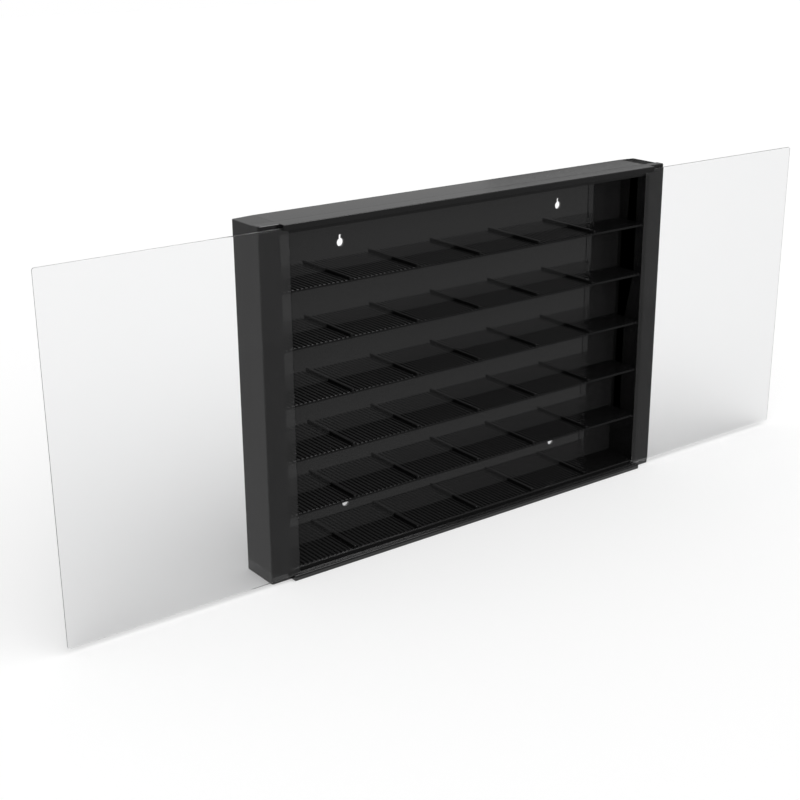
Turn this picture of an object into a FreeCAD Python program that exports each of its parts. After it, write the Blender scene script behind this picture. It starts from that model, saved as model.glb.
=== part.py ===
"""Display case for model cars: a moulded black carcass, ribbed shelves and two sliding clear doors.

Frame: +X to the right, +Y to the back, +Z up. The origin is at the middle of the footprint, on the
surface that the case stands on. The doors are drawn slid out sideways, held by the ends of the rails.
"""
import FreeCAD
import Part
import math
import os

from FreeCAD import Vector

# Carcass
CASE_WIDTH = 630.0
CASE_HEIGHT = 430.0
BODY_DEPTH = 57.0
PILASTER_WIDTH = 27.0
WALL = 2.4
CORNER_RADIUS = 2.5
TOP_EDGE_CHAMFER = 0.9

# Room behind the doors
ROOM_DEPTH = 52.0
ROWS = 6
FLOOR_TOP = 12.0
TOP_BAND = 10.0

# Sliding doors
DOOR_THICKNESS = 2.0
DOOR_CORNER_RADIUS = 3.0
DOOR_SIDE_LAP = 3.5
DOOR_CENTRE_LAP = 7.0
DOOR_HELD_LENGTH = 8.8

# Rails, which carry both door tracks
BOTTOM_WEB = 5.6
TOP_WEB = 2.6
TRACK_PLAY = 0.4
TRACK_RIB = 0.8
LIP_THICKNESS = 2.4
DOOR_SEAT_GAP = 0.3
BOTTOM_LIP_CAPTURE = 1.0
TOP_LIP_CAPTURE = 3.0
RIB_CAPTURE = 0.8
LIFT_PLAY = 0.5
HEADER_HEIGHT = 12.7
LIP_EDGE_CHAMFER = 0.6
RAIL_REAR = 12.4
RAIL_TONGUE = 6.0
TOP_RAIL_BLOCK_HEIGHT = 7.0
PLUG_REACH = 13.0
PLUG_DEPTH = 4.0
PLUG_HEIGHT = 6.0

# Ribbed shelves
BAYS = 6
DIVIDER_WIDTH = 3.6
DIVIDER_HEIGHT = 3.0
DIVIDER_NOSE_REACH = 0.8
DIVIDER_NOSE_CHAMFER = 1.1
SHELF_PLATE = 2.0
RIBS_PER_BAY = 16
RIB_HEIGHT = 1.0
RIB_CREST = 2.8
SHELF_SETBACK = 2.0
SHELF_END_GAP = 0.2
SHELF_BACK_GAP = 0.2
FLOOR_GAP = 0.1

# Tabs that plug the shelves into the end panels and the back panel
END_TAB_WIDTH = 12.0
END_TAB_REACH = 1.0
END_TAB_FRONT = 21.0
END_TAB_REAR_MARGIN = 6.0
BACK_TAB_WIDTH = 16.0
TAB_PLAY = 0.2

# Back panel with its keyholes
PANEL_THICKNESS = 3.0
PANEL_PLAY = 0.15
KEYHOLE_SPACING = 346.0
KEYHOLE_TOP_Z = 383.0
KEYHOLE_BOTTOM_Z = 50.0
KEYHOLE_HEAD_DIAMETER = 9.8
KEYHOLE_SLOT_WIDTH = 4.0
KEYHOLE_SLOT_RISE = 7.7

# Screws that hold the back panel, and the bosses they bite into
SCREW_DIAMETER = 2.8
SCREW_LENGTH = 9.0
SCREW_HEAD_DIAMETER = 5.6
SCREW_HEAD_HEIGHT = 1.6
SCREW_HOLE_PLAY = 0.3
POST_WIDTH = 7.0
POST_LENGTH = 14.0
CORNER_SCREW_INSET = 24.0
BORE_SPARE = 1.5

# Small screws that hold the ends of the rails, driven from behind
RAIL_SCREW_DIAMETER = 2.2
RAIL_SCREW_LENGTH = 8.0
RAIL_SCREW_HEAD_DIAMETER = 4.0
RAIL_SCREW_HEAD_HEIGHT = 1.4
RAIL_SCREW_HEAD_GAP = 0.3
RAIL_POST_WIDTH = 5.0
SCREW_HEAD_SIDES = 12
SCREW_SHANK_SIDES = 8

# Stiffening inside the mouldings
WEB = 1.6
PANEL_TONGUE_REACH = 3.0

# Moulding marks on the foot of the right pilaster
MARK_RING_DIAMETER = 11.5
MARK_RING_WIDTH = 0.9
MARK_RING_INSET = 7.4
MARK_RING_HEIGHT = 18.2
MARK_LINE_HEIGHT = 103.0
MARK_LINE_WIDTH = 0.8
MARK_DEPTH = 0.3

# Places worked out from the sizes above
HALF_WIDTH = CASE_WIDTH / 2
OPENING_HALF = HALF_WIDTH - PILASTER_WIDTH
PILASTER_MIDDLE = HALF_WIDTH - PILASTER_WIDTH / 2
REAR_DOOR_BACK = TRACK_PLAY
REAR_DOOR_FRONT = REAR_DOOR_BACK + DOOR_THICKNESS
RIB_BACK = REAR_DOOR_FRONT + TRACK_PLAY
RIB_FRONT = RIB_BACK + TRACK_RIB
FRONT_DOOR_BACK = RIB_FRONT + TRACK_PLAY
FRONT_DOOR_FRONT = FRONT_DOOR_BACK + DOOR_THICKNESS
LIP_BACK = FRONT_DOOR_FRONT + TRACK_PLAY
LIP_REACH = LIP_BACK + LIP_THICKNESS
FACE_Y = -(BODY_DEPTH - LIP_REACH) / 2
BACK_Y = FACE_Y + BODY_DEPTH
PANEL_FACE_Y = FACE_Y + ROOM_DEPTH
PANEL_REAR_Y = PANEL_FACE_Y + PANEL_THICKNESS
RAIL_REAR_Y = FACE_Y + RAIL_REAR
PLUG_FRONT_Y = RAIL_REAR_Y - PLUG_DEPTH
ROW_PITCH = (CASE_HEIGHT - TOP_BAND - FLOOR_TOP) / ROWS
BAY_PITCH = (2 * OPENING_HALF + DIVIDER_WIDTH) / BAYS
DIVIDER_XS = [(i + 1 - BAYS / 2) * BAY_PITCH for i in range(BAYS - 1)]
SHELF_TOPS = [FLOOR_TOP + (ROWS - 1 - i) * ROW_PITCH for i in range(ROWS - 1)]
SHELF_THICKNESS = SHELF_PLATE + RIB_HEIGHT
BACK_TAB_XS = [DIVIDER_XS[0], (DIVIDER_XS[0] + DIVIDER_XS[-1]) / 2, DIVIDER_XS[-1]]
PANEL_RIB_TOP = FLOOR_TOP - SHELF_THICKNESS - FLOOR_GAP
DOOR_BOTTOM = BOTTOM_WEB + DOOR_SEAT_GAP
DOOR_TOP = CASE_HEIGHT - TOP_WEB - LIFT_PLAY - BOTTOM_LIP_CAPTURE
DOOR_WIDTH = OPENING_HALF + DOOR_SIDE_LAP + DOOR_CENTRE_LAP / 2
RAIL_SCREW_DROP = WALL + RAIL_SCREW_HEAD_GAP + RAIL_SCREW_HEAD_DIAMETER / 2
PLUG_SCREW_X = OPENING_HALF + WALL + (PLUG_REACH - WALL) / 2
BIG = 2 * CASE_WIDTH
NEAR = 0.01


def box(x0, x1, y0, y1, z0, z1):
    """A box between two corners."""
    return Part.makeBox(x1 - x0, y1 - y0, z1 - z0, Vector(x0, y0, z0))


def polygon(points):
    """A flat face with straight sides through the points."""
    return Part.Face(Part.makePolygon(points + [points[0]]))


def prism_along_x(profile, x0, x1):
    """A (y, z) outline drawn out along X."""
    face = polygon([Vector(x0, y, z) for y, z in profile])
    return face.extrude(Vector(x1 - x0, 0, 0))


def prism_along_y(profile, y0, y1):
    """An (x, z) outline drawn out along Y."""
    face = polygon([Vector(x, y0, z) for x, z in profile])
    return face.extrude(Vector(0, y1 - y0, 0))


def rod_along_y(x, z, diameter, y0, y1):
    """A round bar from y0 to y1."""
    return Part.makeCylinder(diameter / 2, y1 - y0, Vector(x, y0, z), Vector(0, 1, 0))


def mirrored(shape):
    """The same shape on the other side of the middle plane x = 0."""
    return shape.mirror(Vector(0, 0, 0), Vector(1, 0, 0))


def turned_over(shape):
    """The same shape upside down within the height of the case."""
    return shape.mirror(Vector(0, 0, CASE_HEIGHT / 2), Vector(0, 0, 1))


def fuse(shapes):
    """One solid from shapes that meet or overlap."""
    joined = shapes[0].multiFuse(shapes[1:]) if len(shapes) > 1 else shapes[0]
    return joined.removeSplitter()


def edges_inside(shape, low, high):
    """The edges of a shape that lie wholly inside a box."""
    found = []
    for edge in shape.Edges:
        bounds = edge.BoundBox
        starts_in = bounds.XMin >= low[0] and bounds.YMin >= low[1] and bounds.ZMin >= low[2]
        ends_in = bounds.XMax <= high[0] and bounds.YMax <= high[1] and bounds.ZMax <= high[2]
        if starts_in and ends_in:
            found.append(edge)
    return found


def end_block():
    """The outside of the right pilaster: rounded outer corners and a softened top edge."""
    block = box(OPENING_HALF, HALF_WIDTH, FACE_Y, BACK_Y, 0, CASE_HEIGHT)
    corners = edges_inside(block, (HALF_WIDTH - NEAR, -BIG, -NEAR), (BIG, BIG, BIG))
    corners = [edge for edge in corners if edge.BoundBox.ZLength > CASE_HEIGHT / 2]
    block = block.makeFillet(CORNER_RADIUS, corners)
    rim = edges_inside(block, (OPENING_HALF - NEAR, -BIG, CASE_HEIGHT - NEAR), (BIG, BIG, BIG))
    rim = [edge for edge in rim if edge.BoundBox.XMax > OPENING_HALF + NEAR]
    return block.makeChamfer(TOP_EDGE_CHAMFER, rim)


def top_notch():
    """The upper front corner of the right end panel, which the block on the top rail fills."""
    return box(OPENING_HALF, BIG, -BIG, RAIL_REAR_Y, CASE_HEIGHT - TOP_RAIL_BLOCK_HEIGHT, BIG)


def plug(spare):
    """The plug at the right end of the bottom rail, or with spare the window it passes through."""
    return box(OPENING_HALF - WALL, OPENING_HALF + PLUG_REACH, PLUG_FRONT_Y - spare, RAIL_REAR_Y + spare,
               WALL + PANEL_PLAY - spare, WALL + PANEL_PLAY + PLUG_HEIGHT + spare)


def tab_starts():
    """Where the two tabs at each end of a shelf start, from front to back."""
    return [FACE_Y + END_TAB_FRONT, PANEL_FACE_Y - END_TAB_REAR_MARGIN - END_TAB_WIDTH]


def screw_heights():
    """Heights of the two back panel screws in an end panel."""
    return [CORNER_SCREW_INSET, CASE_HEIGHT - CORNER_SCREW_INSET]


def screw_post(z):
    """A square post from wall to wall that a back panel screw bites into."""
    half = POST_WIDTH / 2
    return box(OPENING_HALF, HALF_WIDTH - WALL, PANEL_FACE_Y - POST_LENGTH, PANEL_FACE_Y, z - half, z + half)


def screw_bore(x, z):
    """The bore of that post, a little deeper than the screw reaches."""
    reach = SCREW_LENGTH - PANEL_THICKNESS + BORE_SPARE
    return rod_along_y(x, z, SCREW_DIAMETER, PANEL_FACE_Y - reach, PANEL_FACE_Y)


def rail_screw_hole(x, z, seat_y, diameter, reach):
    """The hole of a rail screw, from the face its head sits on towards the front."""
    return rod_along_y(x, z, diameter, seat_y - reach, seat_y)


def end_panel():
    """Right end panel: outer side, pilaster front and inner wall in one moulding, open at the back."""
    inner_x = OPENING_HALF + WALL
    outer_x = HALF_WIDTH - WALL
    lining_y = RAIL_REAR_Y + WALL
    lining_z = CASE_HEIGHT - TOP_RAIL_BLOCK_HEIGHT - WALL
    shell = end_block().cut(box(inner_x, outer_x, FACE_Y + WALL, BIG, WALL, CASE_HEIGHT - WALL))
    shell = shell.cut(box(OPENING_HALF - WALL, outer_x, PANEL_FACE_Y, BIG, WALL, CASE_HEIGHT - WALL))
    pieces = [shell]
    pieces.append(box(OPENING_HALF, outer_x, FACE_Y + WALL, lining_y, lining_z, CASE_HEIGHT - WALL))
    for top in SHELF_TOPS:
        web_top = top - SHELF_THICKNESS - TAB_PLAY
        pieces.append(box(inner_x, outer_x, FACE_Y + WALL, PANEL_FACE_Y, web_top - WEB, web_top))
    pieces += [screw_post(height) for height in screw_heights()]
    half = RAIL_POST_WIDTH / 2
    pieces.append(box(PLUG_SCREW_X - half, PLUG_SCREW_X + half, FACE_Y + WALL, PLUG_FRONT_Y,
                      WALL, RAIL_SCREW_DROP + half))
    panel = fuse(pieces)
    cuts = [screw_bore(PILASTER_MIDDLE, height) for height in screw_heights()]
    for top in SHELF_TOPS:
        low = top - SHELF_THICKNESS - TAB_PLAY
        high = top - RIB_HEIGHT + TAB_PLAY
        for start in tab_starts():
            cuts.append(box(OPENING_HALF - WALL, inner_x + WEB, start - TAB_PLAY,
                            start + END_TAB_WIDTH + TAB_PLAY, low, high))
    cuts.append(top_notch())
    cuts.append(plug(TAB_PLAY).common(box(-BIG, inner_x, -BIG, BIG, -BIG, BIG)))
    cuts.append(rail_screw_hole(PILASTER_MIDDLE, CASE_HEIGHT - RAIL_SCREW_DROP, lining_y,
                                RAIL_SCREW_DIAMETER + 2 * SCREW_HOLE_PLAY, WALL))
    cuts.append(rail_screw_hole(PLUG_SCREW_X, RAIL_SCREW_DROP, PLUG_FRONT_Y,
                                RAIL_SCREW_DIAMETER, RAIL_SCREW_LENGTH - PLUG_DEPTH + SCREW_HOLE_PLAY))
    for slot in panel_tongues(TAB_PLAY):
        cuts.append(slot)
        cuts.append(turned_over(slot))
    return panel.cut(Part.makeCompound(cuts)).removeSplitter()


def moulding_marks():
    """The shallow ring and cross line near the foot of the right pilaster."""
    ring_x = HALF_WIDTH - MARK_RING_INSET
    inner_diameter = MARK_RING_DIAMETER - 2 * MARK_RING_WIDTH
    start = FACE_Y - WALL
    end = FACE_Y + MARK_DEPTH
    ring = rod_along_y(ring_x, MARK_RING_HEIGHT, MARK_RING_DIAMETER, start, end)
    ring = ring.cut(rod_along_y(ring_x, MARK_RING_HEIGHT, inner_diameter, start, end))
    line = box(OPENING_HALF - WALL, BIG, start, end, MARK_LINE_HEIGHT, MARK_LINE_HEIGHT + MARK_LINE_WIDTH)
    return Part.makeCompound([ring, line])


def panel_tongues(spare):
    """The two tongues at the right end of the bottom panel, which plug into the end panel."""
    tongues = []
    for start in tab_starts():
        tongues.append(box(OPENING_HALF - WALL, OPENING_HALF + PANEL_TONGUE_REACH + spare,
                           start - spare, start + END_TAB_WIDTH + spare, WALL - spare, 2 * WALL + spare))
    return tongues


def closing_panel():
    """Bottom panel: a plate with upstanding ribs. Turned over, it is the top panel too."""
    rib_y = RAIL_REAR_Y + RAIL_TONGUE + TAB_PLAY
    pieces = [box(-OPENING_HALF, OPENING_HALF, RAIL_REAR_Y, BACK_Y, 0, WALL)]
    pieces.append(box(-OPENING_HALF, OPENING_HALF, rib_y, rib_y + WEB, 0, PANEL_RIB_TOP))
    pieces.append(box(-OPENING_HALF, OPENING_HALF, PANEL_FACE_Y - WEB, PANEL_FACE_Y, 0, PANEL_RIB_TOP))
    for x in [WEB / 2 - OPENING_HALF] + DIVIDER_XS + [OPENING_HALF - WEB / 2]:
        pieces.append(box(x - WEB / 2, x + WEB / 2, rib_y, PANEL_FACE_Y, 0, PANEL_RIB_TOP))
    for tongue in panel_tongues(0):
        pieces += [tongue, mirrored(tongue)]
    return fuse(pieces)


def top_panel():
    """Top panel: the closing panel turned over, its rear edge softened to match the end panels."""
    panel = turned_over(closing_panel())
    rear = edges_inside(panel, (-BIG, BACK_Y - NEAR, CASE_HEIGHT - NEAR), (BIG, BIG, BIG))
    return panel.makeChamfer(TOP_EDGE_CHAMFER, rear)


def softened_lip(rail, edge_z, lip_z):
    """A rail whose lip is softened along the front edge at edge_z and up both ends to lip_z."""
    front = FACE_Y - LIP_REACH
    long_edge = edges_inside(rail, (-BIG, front - NEAR, edge_z - NEAR), (BIG, front + NEAR, edge_z + NEAR))
    ends = edges_inside(rail, (-BIG, front - NEAR, min(edge_z, lip_z) - NEAR),
                        (BIG, front + NEAR, max(edge_z, lip_z) + NEAR))
    upright = [edge for edge in ends if edge.BoundBox.XLength < NEAR]
    return rail.makeChamfer(LIP_EDGE_CHAMFER, long_edge + upright)


def bottom_rail():
    """Bottom rail: lip, two grooves with a rib between them and the sill, with a tongue at the back."""
    lip_top = DOOR_BOTTOM + BOTTOM_LIP_CAPTURE
    rib_top = DOOR_BOTTOM + RIB_CAPTURE
    profile = [(FACE_Y - LIP_REACH, 0), (RAIL_REAR_Y, 0), (RAIL_REAR_Y, WALL),
               (RAIL_REAR_Y + RAIL_TONGUE, WALL), (RAIL_REAR_Y + RAIL_TONGUE, 2 * WALL),
               (FACE_Y + WALL, 2 * WALL), (FACE_Y + WALL, FLOOR_TOP), (FACE_Y, FLOOR_TOP),
               (FACE_Y, BOTTOM_WEB), (FACE_Y - RIB_BACK, BOTTOM_WEB), (FACE_Y - RIB_BACK, rib_top),
               (FACE_Y - RIB_FRONT, rib_top), (FACE_Y - RIB_FRONT, BOTTOM_WEB),
               (FACE_Y - LIP_BACK, BOTTOM_WEB), (FACE_Y - LIP_BACK, lip_top), (FACE_Y - LIP_REACH, lip_top)]
    rail = prism_along_x(profile, -OPENING_HALF, OPENING_HALF)
    rail = softened_lip(rail, lip_top, 0)
    hollow = box(WALL - OPENING_HALF, OPENING_HALF - WALL, FACE_Y - LIP_BACK, FACE_Y, -WALL, BOTTOM_WEB - WALL)
    rail = rail.cut(hollow)
    end = plug(0)
    end = end.cut(rail_screw_hole(PLUG_SCREW_X, RAIL_SCREW_DROP, RAIL_REAR_Y,
                                  RAIL_SCREW_DIAMETER + 2 * SCREW_HOLE_PLAY, PLUG_DEPTH))
    return fuse([rail, end, mirrored(end)])


def top_rail():
    """Top rail: the lip, two deep grooves, the header over the top row and a block at each end."""
    ceiling = CASE_HEIGHT - TOP_WEB
    lip_bottom = DOOR_TOP - TOP_LIP_CAPTURE
    header_bottom = CASE_HEIGHT - HEADER_HEIGHT
    profile = [(FACE_Y - LIP_REACH, CASE_HEIGHT), (RAIL_REAR_Y, CASE_HEIGHT),
               (RAIL_REAR_Y, CASE_HEIGHT - WALL), (RAIL_REAR_Y + RAIL_TONGUE, CASE_HEIGHT - WALL),
               (RAIL_REAR_Y + RAIL_TONGUE, CASE_HEIGHT - 2 * WALL), (FACE_Y + WALL, CASE_HEIGHT - 2 * WALL),
               (FACE_Y + WALL, header_bottom), (FACE_Y, header_bottom), (FACE_Y, ceiling),
               (FACE_Y - RIB_BACK, ceiling), (FACE_Y - RIB_BACK, lip_bottom), (FACE_Y - RIB_FRONT, lip_bottom),
               (FACE_Y - RIB_FRONT, ceiling), (FACE_Y - LIP_BACK, ceiling), (FACE_Y - LIP_BACK, lip_bottom),
               (FACE_Y - LIP_REACH, lip_bottom)]
    rail = prism_along_x(profile, -OPENING_HALF, OPENING_HALF)
    rail = softened_lip(rail, CASE_HEIGHT, lip_bottom)
    block = end_block().common(top_notch())
    root = box(OPENING_HALF - WALL, OPENING_HALF, FACE_Y, RAIL_REAR_Y,
               CASE_HEIGHT - TOP_RAIL_BLOCK_HEIGHT, CASE_HEIGHT)
    end = block.fuse(root)
    end = end.cut(rail_screw_hole(PILASTER_MIDDLE, CASE_HEIGHT - RAIL_SCREW_DROP, RAIL_REAR_Y,
                                  RAIL_SCREW_DIAMETER, RAIL_SCREW_LENGTH - WALL + SCREW_HOLE_PLAY))
    return fuse([rail, end, mirrored(end)])


def rib_comb(top, half_length):
    """Outline of a shelf from the front: a plate with a comb of ribs that keep wheels from rolling."""
    pitch = BAY_PITCH / RIBS_PER_BAY
    root = top - RIB_HEIGHT
    places = [(bay - BAYS / 2) * BAY_PITCH + step * pitch for bay in range(BAYS) for step in range(1, RIBS_PER_BAY)]
    outline = [(-half_length, top - SHELF_THICKNESS), (-half_length, root)]
    for x in places:
        if abs(x) + pitch / 2 < half_length:
            if outline[-1][0] < x - pitch / 2 - NEAR:
                outline.append((x - pitch / 2, root))
            outline += [(x - RIB_CREST / 2, top), (x + RIB_CREST / 2, top), (x + pitch / 2, root)]
    outline += [(half_length, root), (half_length, top - SHELF_THICKNESS)]
    return outline


def divider(x, top, nose_y, rear_y):
    """A low ridge between two bays, with a blunt nose at the front edge."""
    half = DIVIDER_WIDTH / 2
    foot = top - SHELF_THICKNESS
    shoulder_y = nose_y + DIVIDER_NOSE_CHAMFER
    tip = half - DIVIDER_NOSE_CHAMFER
    plan = [(x - half, rear_y), (x - half, shoulder_y), (x - tip, nose_y), (x + tip, nose_y),
            (x + half, shoulder_y), (x + half, rear_y)]
    face = polygon([Vector(px, py, foot) for px, py in plan])
    return face.extrude(Vector(0, 0, SHELF_THICKNESS + DIVIDER_HEIGHT))


def ribbed_shelf(top):
    """A shelf: ribbed plate, dividers, two tabs at each end and tabs along the back."""
    half_length = OPENING_HALF - SHELF_END_GAP
    front_y = FACE_Y + SHELF_SETBACK
    rear_y = PANEL_FACE_Y - SHELF_BACK_GAP
    low = top - SHELF_THICKNESS
    plate_top = top - RIB_HEIGHT
    pieces = [prism_along_y(rib_comb(top, half_length), front_y, rear_y)]
    for x in DIVIDER_XS:
        pieces.append(divider(x, top, front_y - DIVIDER_NOSE_REACH, rear_y))
    tab_end = OPENING_HALF + WALL + END_TAB_REACH
    for start in tab_starts():
        tab = box(half_length - WALL, tab_end, start, start + END_TAB_WIDTH, low, plate_top)
        pieces += [tab, mirrored(tab)]
    for x in BACK_TAB_XS:
        pieces.append(box(x - BACK_TAB_WIDTH / 2, x + BACK_TAB_WIDTH / 2, rear_y - WALL, PANEL_REAR_Y,
                          low, plate_top))
    return fuse(pieces)


def floor_shelf():
    """The ribbed floor of the bottom row, laid behind the sill on the bottom panel's ribs."""
    half_length = OPENING_HALF - SHELF_END_GAP
    front_y = FACE_Y + WALL + FLOOR_GAP
    rear_y = PANEL_FACE_Y - SHELF_BACK_GAP
    pieces = [prism_along_y(rib_comb(FLOOR_TOP, half_length), front_y, rear_y)]
    for x in DIVIDER_XS:
        pieces.append(divider(x, FLOOR_TOP, front_y, rear_y))
    return fuse(pieces)


def keyhole(x, z):
    """A round hole for a screw's head with a slot above it for the shank."""
    head = rod_along_y(x, z, KEYHOLE_HEAD_DIAMETER, PANEL_FACE_Y, PANEL_REAR_Y)
    slot_end = rod_along_y(x, z + KEYHOLE_SLOT_RISE, KEYHOLE_SLOT_WIDTH, PANEL_FACE_Y, PANEL_REAR_Y)
    slot = box(x - KEYHOLE_SLOT_WIDTH / 2, x + KEYHOLE_SLOT_WIDTH / 2, PANEL_FACE_Y, PANEL_REAR_Y,
               z, z + KEYHOLE_SLOT_RISE)
    return fuse([head, slot, slot_end])


def screw_places():
    """Middle of each back panel screw, as (x, z)."""
    return [(x, z) for z in screw_heights() for x in (-PILASTER_MIDDLE, PILASTER_MIDDLE)]


def back_panel():
    """Glossy back panel with four keyholes, slots for the shelves' tabs and screw holes."""
    edge = HALF_WIDTH - WALL - PANEL_PLAY
    panel = box(-edge, edge, PANEL_FACE_Y, PANEL_REAR_Y, WALL + PANEL_PLAY, CASE_HEIGHT - WALL - PANEL_PLAY)
    cuts = []
    for x in (-KEYHOLE_SPACING / 2, KEYHOLE_SPACING / 2):
        for z in (KEYHOLE_TOP_Z, KEYHOLE_BOTTOM_Z):
            cuts.append(keyhole(x, z))
    for top in SHELF_TOPS:
        for x in BACK_TAB_XS:
            half = BACK_TAB_WIDTH / 2 + TAB_PLAY
            cuts.append(box(x - half, x + half, PANEL_FACE_Y, PANEL_REAR_Y,
                            top - SHELF_THICKNESS - TAB_PLAY, top - RIB_HEIGHT + TAB_PLAY))
    for x, z in screw_places():
        cuts.append(rod_along_y(x, z, SCREW_DIAMETER + 2 * SCREW_HOLE_PLAY, PANEL_FACE_Y, PANEL_REAR_Y))
    return panel.cut(Part.makeCompound(cuts))


def flat_sided_rod(x, z, diameter, sides, y0, y1):
    """A bar with flat sides, in place of a round one on the small screws."""
    angles = [2 * math.pi * (i + 0.5) / sides for i in range(sides)]
    outline = [(x + diameter / 2 * math.cos(a), z + diameter / 2 * math.sin(a)) for a in angles]
    return prism_along_y(outline, y0, y1)


def plain_screw(x, z, seat_y, diameter, length, head_diameter, head_height):
    """A pan head screw, driven from behind until its head meets seat_y."""
    shank = flat_sided_rod(x, z, diameter, SCREW_SHANK_SIDES, seat_y - length, seat_y)
    head = flat_sided_rod(x, z, head_diameter, SCREW_HEAD_SIDES, seat_y, seat_y + head_height)
    return fuse([shank, head])


def back_panel_screws():
    """The screws at the corners of the back panel."""
    return Part.makeCompound([plain_screw(x, z, PANEL_REAR_Y, SCREW_DIAMETER, SCREW_LENGTH,
                                          SCREW_HEAD_DIAMETER, SCREW_HEAD_HEIGHT)
                              for x, z in screw_places()])


def rail_screws():
    """The small screws inside the end panels that hold the ends of both rails."""
    places = [(PILASTER_MIDDLE, CASE_HEIGHT - RAIL_SCREW_DROP, RAIL_REAR_Y + WALL),
              (PLUG_SCREW_X, RAIL_SCREW_DROP, RAIL_REAR_Y)]
    screws = []
    for x, z, seat_y in places:
        screw = plain_screw(x, z, seat_y, RAIL_SCREW_DIAMETER, RAIL_SCREW_LENGTH,
                            RAIL_SCREW_HEAD_DIAMETER, RAIL_SCREW_HEAD_HEIGHT)
        screws += [screw, mirrored(screw)]
    return Part.makeCompound(screws)


def door(x0, rear_face):
    """A clear sheet with rounded corners; rear_face is its distance in front of the pilasters."""
    y0 = FACE_Y - rear_face - DOOR_THICKNESS
    sheet = box(x0, x0 + DOOR_WIDTH, y0, y0 + DOOR_THICKNESS, DOOR_BOTTOM, DOOR_TOP)
    corners = [edge for edge in sheet.Edges if edge.BoundBox.YLength > DOOR_THICKNESS / 2]
    return sheet.makeFillet(DOOR_CORNER_RADIUS, corners)


def build_parts():
    """Every node of the case with its solid."""
    right_end = end_panel()
    left_door_x = DOOR_HELD_LENGTH - OPENING_HALF - DOOR_WIDTH
    right_door_x = OPENING_HALF - DOOR_HELD_LENGTH
    parts = {
        "left_end_panel": mirrored(right_end),
        "right_end_panel": right_end.cut(moulding_marks()),
        "top_panel": top_panel(),
        "bottom_panel": closing_panel(),
        "top_rail": top_rail(),
        "bottom_rail": bottom_rail(),
        "back_panel": back_panel(),
        "floor_shelf": floor_shelf(),
        "left_door": door(left_door_x, FRONT_DOOR_BACK),
        "right_door": door(right_door_x, REAR_DOOR_BACK),
        "back_panel_screws": back_panel_screws(),
        "rail_screws": rail_screws(),
    }
    for number, top in enumerate(SHELF_TOPS, start=1):
        parts["shelf_%d" % number] = ribbed_shelf(top)
    return parts


def main():
    """Write one STEP file for each node."""
    os.makedirs("parts", exist_ok=True)
    for name, shape in build_parts().items():
        print(name, "solids", len(shape.Solids), "valid", shape.isValid(), "volume", round(shape.Volume))
        shape.exportStep("parts/%s.step" % name)


main()
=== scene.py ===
"""Display case for model cars: finished shelves, doors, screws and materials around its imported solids.

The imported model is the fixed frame. Each operator below finishes one group of pieces, in metres, with +X to
the right, +Y to the back and +Z up, and the last one sets the studio that the case stands in.
"""

import math

import bmesh
import bpy
from mathutils import Matrix, Vector


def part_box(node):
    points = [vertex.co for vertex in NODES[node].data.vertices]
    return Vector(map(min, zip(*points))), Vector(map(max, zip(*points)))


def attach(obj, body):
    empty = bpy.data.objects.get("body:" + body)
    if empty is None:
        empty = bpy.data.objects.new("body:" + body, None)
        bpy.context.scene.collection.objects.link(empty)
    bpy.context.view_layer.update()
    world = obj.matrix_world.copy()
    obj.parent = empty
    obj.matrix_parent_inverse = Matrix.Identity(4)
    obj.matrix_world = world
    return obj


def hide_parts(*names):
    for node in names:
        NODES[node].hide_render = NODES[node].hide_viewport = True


bl_info = {
    "name": "Model Car Display Case",
    "version": (1, 0, 0),
    "blender": (4, 5, 0),
    "location": "3D View > Sidebar > Display Case",
    "description": "Finishes a display case for model cars: mouldings, ribbed shelves, sliding doors and screws",
    "category": "Object",
}

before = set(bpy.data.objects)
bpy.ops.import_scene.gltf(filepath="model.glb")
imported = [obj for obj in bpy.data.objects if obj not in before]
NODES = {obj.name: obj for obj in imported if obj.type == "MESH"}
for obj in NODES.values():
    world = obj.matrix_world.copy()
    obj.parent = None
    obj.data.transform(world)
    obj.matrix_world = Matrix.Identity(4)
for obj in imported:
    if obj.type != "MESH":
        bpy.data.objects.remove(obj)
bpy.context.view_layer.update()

CASE_BODY = "case"
LEFT_DOOR_BODY = "left_sliding_door"
RIGHT_DOOR_BODY = "right_sliding_door"
SHELF_NODES = ["shelf_1", "shelf_2", "shelf_3", "shelf_4", "shelf_5"]
MOULDING_NODES = ["left_end_panel", "right_end_panel", "top_panel", "bottom_panel", "top_rail", "bottom_rail"]

MM = 0.001
SMOOTH_ANGLE = math.radians(48)
SHARP_ANGLE = math.radians(40)


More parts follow.
